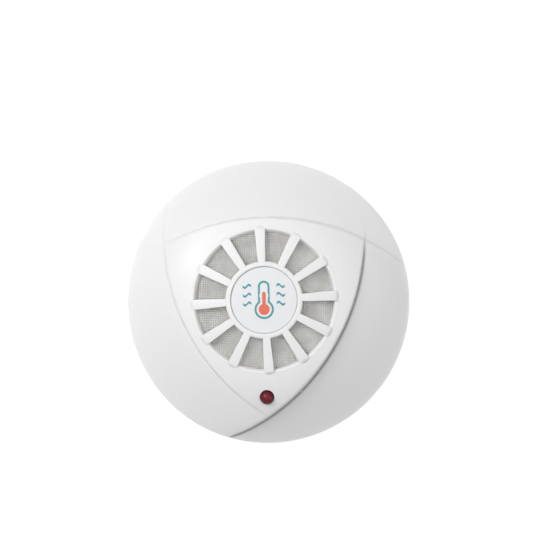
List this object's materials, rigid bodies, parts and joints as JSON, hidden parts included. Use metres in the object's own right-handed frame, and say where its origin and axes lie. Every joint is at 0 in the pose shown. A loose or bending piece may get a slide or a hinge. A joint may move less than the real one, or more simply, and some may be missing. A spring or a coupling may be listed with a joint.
{
  "type": "heat detector",
  "caption": "Round ceiling heat detector: white domed cover with swept scoops, a spoked air grille and an alarm lamp, on a head that twists off a wired base.",
  "frame": {"origin": "centre of the base's back face, which lies on the ceiling", "axes": "+Z out of the ceiling toward the face; the alarm lamp is toward -Y; +X to the right when the face is looked at with the lamp at the bottom"},
  "size_m": [0.1, 0.1, 0.0468],
  "materials": {
    "cover_white": "smooth moulded ABS, soft gloss",
    "base_white": "moulded ABS, satin inside",
    "badge_white": "printed disc, gloss",
    "screen_wire": "fine woven stainless wire",
    "carrier_white": "moulded, fine texture",
    "bead_glass": "epoxy dipped bead on tinned leads",
    "lamp_red": "tinted epoxy lens",
    "spacer_black": "nylon",
    "board_green": "glass epoxy laminate under solder mask",
    "chip_black": "moulded epoxy package",
    "can_sleeve": "printed shrink sleeve on an aluminium can",
    "resistor_black": "glazed chip with tinned ends",
    "chip_tan": "fired chip with tinned ends",
    "contact_brass": "stamped and tumbled",
    "rivet_brass": "turned",
    "screw_zinc": "bright zinc plate",
    "clamp_zinc": "zinc plate, stamped",
    "label_paper": "blank label stock"
  },
  "bodies": {
    "base": {"mounting_base": "base_white", "terminal_strip_1": "contact_brass", "terminal_strip_2": "contact_brass", "terminal_strip_3": "contact_brass", "terminal_strip_4": "contact_brass"},
    "head": {"front_cover": "cover_white", "badge_disc": "badge_white", "insect_screen": "screen_wire", "sensor_carrier": "carrier_white", "thermistor_fast": "bead_glass", "thermistor_reference": "bead_glass", "alarm_led": "lamp_red", "led_spacer": "spacer_black", "circuit_board": "board_green", "microcontroller": "chip_black", "electrolytic_capacitor": "can_sleeve", "bridge_rectifier": "chip_black", "alarm_transistor": "chip_black", "surge_suppressor": "chip_black", "chip_resistors": "resistor_black", "chip_capacitors": "chip_tan", "chassis": "base_white", "contact_blades": "contact_brass", "blade_rivets": "rivet_brass", "cover_screws": "screw_zinc", "board_screws": "screw_zinc", "rating_label": "label_paper"},
    "clamp_1": {"clamp_plate_1": "clamp_zinc"},
    "screw_1": {"terminal_screw_1": "screw_zinc"},
    "clamp_2": {"clamp_plate_2": "clamp_zinc"},
    "screw_2": {"terminal_screw_2": "screw_zinc"},
    "clamp_3": {"clamp_plate_3": "clamp_zinc"},
    "screw_3": {"terminal_screw_3": "screw_zinc"},
    "clamp_4": {"clamp_plate_4": "clamp_zinc"},
    "screw_4": {"terminal_screw_4": "screw_zinc"}
  },
  "joints": [
    {"name": "head_twist", "type": "hinge", "parent": "base", "child": "head", "pos_m": [0, 0, 0.0129], "axis": [0, 0, 1], "range_deg": [0, 22]},
    {"name": "clamp_1_lift", "type": "slide", "parent": "base", "child": "clamp_1", "axis": [0, 0, 1], "range_m": [0, 0.0015]},
    {"name": "screw_1_turn", "type": "hinge", "parent": "clamp_1", "child": "screw_1", "pos_m": [0.01626, 0.01626, 0.0067], "axis": [0, 0, 1], "range_deg": [0, 1080]},
    {"name": "clamp_2_lift", "type": "slide", "parent": "base", "child": "clamp_2", "axis": [0, 0, 1], "range_m": [0, 0.0015]},
    {"name": "screw_2_turn", "type": "hinge", "parent": "clamp_2", "child": "screw_2", "pos_m": [-0.01626, 0.01626, 0.0067], "axis": [0, 0, 1], "range_deg": [0, 1080]},
    {"name": "clamp_3_lift", "type": "slide", "parent": "base", "child": "clamp_3", "axis": [0, 0, 1], "range_m": [0, 0.0015]},
    {"name": "screw_3_turn", "type": "hinge", "parent": "clamp_3", "child": "screw_3", "pos_m": [-0.01626, -0.01626, 0.0067], "axis": [0, 0, 1], "range_deg": [0, 1080]},
    {"name": "clamp_4_lift", "type": "slide", "parent": "base", "child": "clamp_4", "axis": [0, 0, 1], "range_m": [0, 0.0015]},
    {"name": "screw_4_turn", "type": "hinge", "parent": "clamp_4", "child": "screw_4", "pos_m": [0.01626, -0.01626, 0.0067], "axis": [0, 0, 1], "range_deg": [0, 1080]}
  ],
  "couplings": [
    {"joint": "screw_1_turn", "follows": "clamp_1_lift", "rad_per_m": 12566},
    {"joint": "screw_2_turn", "follows": "clamp_2_lift", "rad_per_m": 12566},
    {"joint": "screw_3_turn", "follows": "clamp_3_lift", "rad_per_m": 12566},
    {"joint": "screw_4_turn", "follows": "clamp_4_lift", "rad_per_m": 12566}
  ]
}
